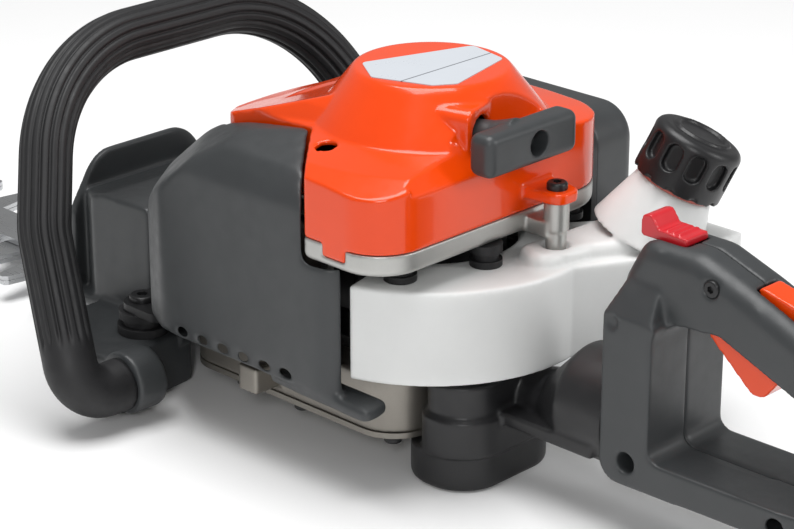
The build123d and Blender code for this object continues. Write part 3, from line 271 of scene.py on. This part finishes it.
def moulded(node, grain, rounds):
    """A node's form with every edge rounded as a moulding's or a casting's is."""
    form = bmesh.new()
    form.from_mesh(NODES[node].data)
    bmesh.ops.remove_doubles(form, verts=form.verts, dist=WELD)
    mesh = bpy.data.meshes.new(node + "_moulded")
    form.to_mesh(mesh)
    form.free()
    piece = new_piece(node + "_moulded", mesh)
    remesh = piece.modifiers.new("remesh", "REMESH")
    remesh.mode = "VOXEL"
    remesh.voxel_size = grain
    smooth = piece.modifiers.new("smooth", "SMOOTH")
    smooth.factor = 0.5
    smooth.iterations = rounds
    thin = piece.modifiers.new("thin", "DECIMATE")
    thin.ratio = KEPT_FACES
    baked(piece)
    piece.data.shade_smooth()
    return stand_for(piece, node)


# Voxel size in millimetres, and rounds of smoothing: more rounds make softer creases
MOULDED = {"starter_housing": (0.8, 6), "muffler_cover": (0.9, 90), "fuel_tank": (0.8, 8),
           "fuel_cap": (0.6, 4), "starter_handle": (0.6, 8),
           "handle_left": (0.9, 14), "handle_right": (0.9, 14), "rear_support": (0.9, 8),
           "front_guard": (1.1, 8), "fan_case": (0.8, 5), "gear_case": (0.9, 6), "air_filter_cover": (0.9, 8),
           "trigger": (0.6, 6), "lockout": (0.6, 6), "stop_switch": (0.5, 3)}
for node, (voxel, rounds) in MOULDED.items():
    moulded(node, voxel * MM, rounds)


# ---------------------------------------------------------------- ribbed grip of the loop handle

GRIP_R = 12.0 * MM           # over the ribs
GROOVE = 1.5 * MM            # depth of the grooves along the grip
RIBS = 16
LOOP_LEAN = math.radians(26)
LOOP_FOOT = 93.9 * MM        # the loop's plane meets the ground here, ahead of the crankshaft
# Half of the centre line's corners, as millimetres sideways and along the leaning plane, and their bend radii
LOOP_CORNERS = [(92.3, 21), (117, 21), (105, 96), (72.5, 170.5)]
LOOP_BENDS = [14, 42, 72]
SMOOTH_END = 40 * MM         # plain stretch at each end of the grip
GROOVE_RUN_OUT = 6 * MM      # where the grooves grow to full depth
GROOVE_SHARPNESS = 1.5
FACETS_PER_RIB = 8
BEND_FACETS = 24
STEP = 1.5 * MM              # between rings of points along the grip


def rounded_route(corners, bends):
    """Points along a flat polyline whose inner corners are rounded by arcs."""
    points = [Vector(corners[0])]
    for before, corner, after, bend in zip(corners, corners[1:], corners[2:], bends):
        here = Vector(corner)
        back, ahead = (Vector(before) - here).normalized(), (Vector(after) - here).normalized()
        half = back.angle(ahead) / 2
        centre = here + (back + ahead).normalized() * bend / math.sin(half)
        start = here + back * bend / math.tan(half) - centre
        stop = here + ahead * bend / math.tan(half) - centre
        sweep = start.angle_signed(stop)
        for k in range(BEND_FACETS + 1):
            turn = -sweep * k / BEND_FACETS
            points.append(centre + Vector((start.x * math.cos(turn) - start.y * math.sin(turn),
                                           start.x * math.sin(turn) + start.y * math.cos(turn))))
    points.append(Vector(corners[-1]))
    return points


def even_steps(points, step):
    """The same line with its points about a step apart, and its length."""
    lengths = [0.0]
    for a, b in zip(points, points[1:]):
        lengths.append(lengths[-1] + (b - a).length)
    count = round(lengths[-1] / step)
    result, k = [], 0
    for i in range(count + 1):
        want = lengths[-1] * i / count
        while k < len(points) - 2 and lengths[k + 1] < want:
            k += 1
        part = (want - lengths[k]) / max(lengths[k + 1] - lengths[k], 1e-9)
        result.append(points[k].lerp(points[k + 1], part))
    return result, lengths[-1]


def loop_centre_line():
    """The grip's centre line, in the row frame, its length, and the direction across the loop's plane."""
    corners = [(y * MM, rise * MM) for y, rise in LOOP_CORNERS]
    corners += [(-y, rise) for y, rise in reversed(corners)]
    bends = [bend * MM for bend in LOOP_BENDS]
    flat, length = even_steps(rounded_route(corners, bends + bends[::-1]), STEP)
    across = Vector((math.cos(LOOP_LEAN), 0, -math.sin(LOOP_LEAN)))
    up = Vector((math.sin(LOOP_LEAN), 0, math.cos(LOOP_LEAN)))
    foot = Vector((LOOP_FOOT + SETBACK, 0, 0))
    return [foot + Vector((0, p.x, 0)) + up * p.y for p in flat], length, across


def grooved_ring(point, along, across, depth, around):
    """One ring of points round the grip, with grooves of this depth between its ribs."""
    side = along.cross(across)
    ring = []
    for k in range(around):
        turn = 2 * math.pi * k / around
        groove = max(0.0, math.cos(RIBS * turn)) ** GROOVE_SHARPNESS
        ring.append(point + (across * math.cos(turn) + side * math.sin(turn)) * (GRIP_R - depth * groove))
    return ring


def loop_grip():
    """The rubber grip, grooved along its length, with plain ends."""
    route, length, across = loop_centre_line()
    around = RIBS * FACETS_PER_RIB
    verts, faces = [], []
    for i, point in enumerate(route):
        along = (route[min(i + 1, len(route) - 1)] - route[max(i - 1, 0)]).normalized()
        travelled = length * i / (len(route) - 1)
        from_end = min(travelled, length - travelled)
        fade = min(max((from_end - SMOOTH_END) / GROOVE_RUN_OUT, 0.0), 1.0)
        verts += grooved_ring(point, along, across, GROOVE * fade, around)
    for i in range(len(route) - 1):
        for k in range(around):
            a, b = i * around + k, i * around + (k + 1) % around
            faces.append((a, b, b + around, a + around))
    faces.append(tuple(range(around - 1, -1, -1)))
    faces.append(tuple(range((len(route) - 1) * around, len(route) * around)))
    mesh = bpy.data.meshes.new("loop_grip")
    mesh.from_pydata([tuple(v) for v in verts], [], faces)
    form = bmesh.new()
    form.from_mesh(mesh)
    bmesh.ops.recalc_face_normals(form, faces=form.faces)
    form.to_mesh(mesh)
    form.free()
    mesh.shade_smooth()
    stand_for(new_piece("loop_grip", mesh), "front_handle_grip")


loop_grip()


# ---------------------------------------------------------------- starter rope

def paid_out_rope():
    """The rope as a copy of its node's mesh, set where the node is, in its slot's material, shown in the
    node's place.
    """
    mesh = NODES["starter_rope"].data.copy()
    rope = new_piece("paid_out_rope", mesh)
    rope.matrix_world = NODES["starter_rope"].matrix_world.copy()
    dress(rope, SLOT_OF["starter_rope"])
    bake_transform(rope)
    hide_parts("starter_rope")


paid_out_rope()


# ---------------------------------------------------------------- floor, light and camera

FLOOR_REACH = 6.0            # metres each way


def stage():
    """A large matt white floor."""
    mesh = bpy.data.meshes.new("floor")
    corners = [(-1, -1), (1, -1), (1, 1), (-1, 1)]
    mesh.from_pydata([(x * FLOOR_REACH, y * FLOOR_REACH, 0) for x, y in corners], [], [(0, 1, 2, 3)])
    floor = new_piece("floor", mesh)
    nodes = Nodes("floor_white")
    nodes.connect(nodes.ramp(nodes.noise(3.0), [(0.3, (0.93, 0.93, 0.93)), (0.7, (0.95, 0.95, 0.95))]),
                  "Base Color")
    nodes.shader.inputs["Roughness"].default_value = 0.7
    floor.data.materials.append(nodes.material)


def area_light(name, place, aim, size, power):
    """A rectangular light, in watts, facing the aim point."""
    lamp = bpy.data.lights.new(name, "AREA")
    lamp.shape = "RECTANGLE"
    lamp.size, lamp.size_y = size
    lamp.energy = power
    holder = bpy.data.objects.new(name, lamp)
    holder.location = place
    holder.rotation_euler = (Vector(aim) - Vector(place)).to_track_quat("-Z", "Y").to_euler()
    bpy.context.scene.collection.objects.link(holder)


def lights():
    """A soft white surround, a large light overhead and two smaller ones for the highlights."""
    world = bpy.data.worlds.new("studio")
    bpy.context.scene.world = world
    world.use_nodes = True
    world.node_tree.nodes["Background"].inputs["Color"].default_value = (1.0, 1.0, 1.0, 1.0)
    world.node_tree.nodes["Background"].inputs["Strength"].default_value = 0.32
    area_light("overhead", (0.1, 0.1, 1.6), (0.05, 0, 0.1), (1.1, 1.1), 25.0)
    area_light("side", (-1.2, 1.5, 1.0), (0, 0, 0.1), (0.3, 0.5), 10.0)
    area_light("rear", (-1.4, -0.8, 0.9), (0, 0, 0.1), (0.3, 0.6), 8.0)


EYE = Vector((-724.0 * MM + SETBACK, 763.1 * MM, 499.4 * MM))
AZIMUTH = math.radians(224.3)        # the way that the camera looks, turned from +Y towards -X
ELEVATION = math.radians(21.8)
FOCAL_LENGTH = 117.9                 # mm, on a sensor this wide
SENSOR_WIDTH = 36.0


def camera():
    """A long lens at the rear left, looking down at the engine."""
    eye = bpy.data.cameras.new("camera")
    eye.lens = FOCAL_LENGTH
    eye.sensor_width = SENSOR_WIDTH
    eye.clip_start = 0.02
    eye.clip_end = 50.0
    holder = bpy.data.objects.new("camera", eye)
    holder.location = EYE
    holder.rotation_euler = (math.pi / 2 - ELEVATION, 0.0, AZIMUTH)
    bpy.context.scene.collection.objects.link(holder)
    bpy.context.scene.camera = holder


stage()
lights()
camera()
bpy.context.scene.view_settings.view_transform = "Standard"
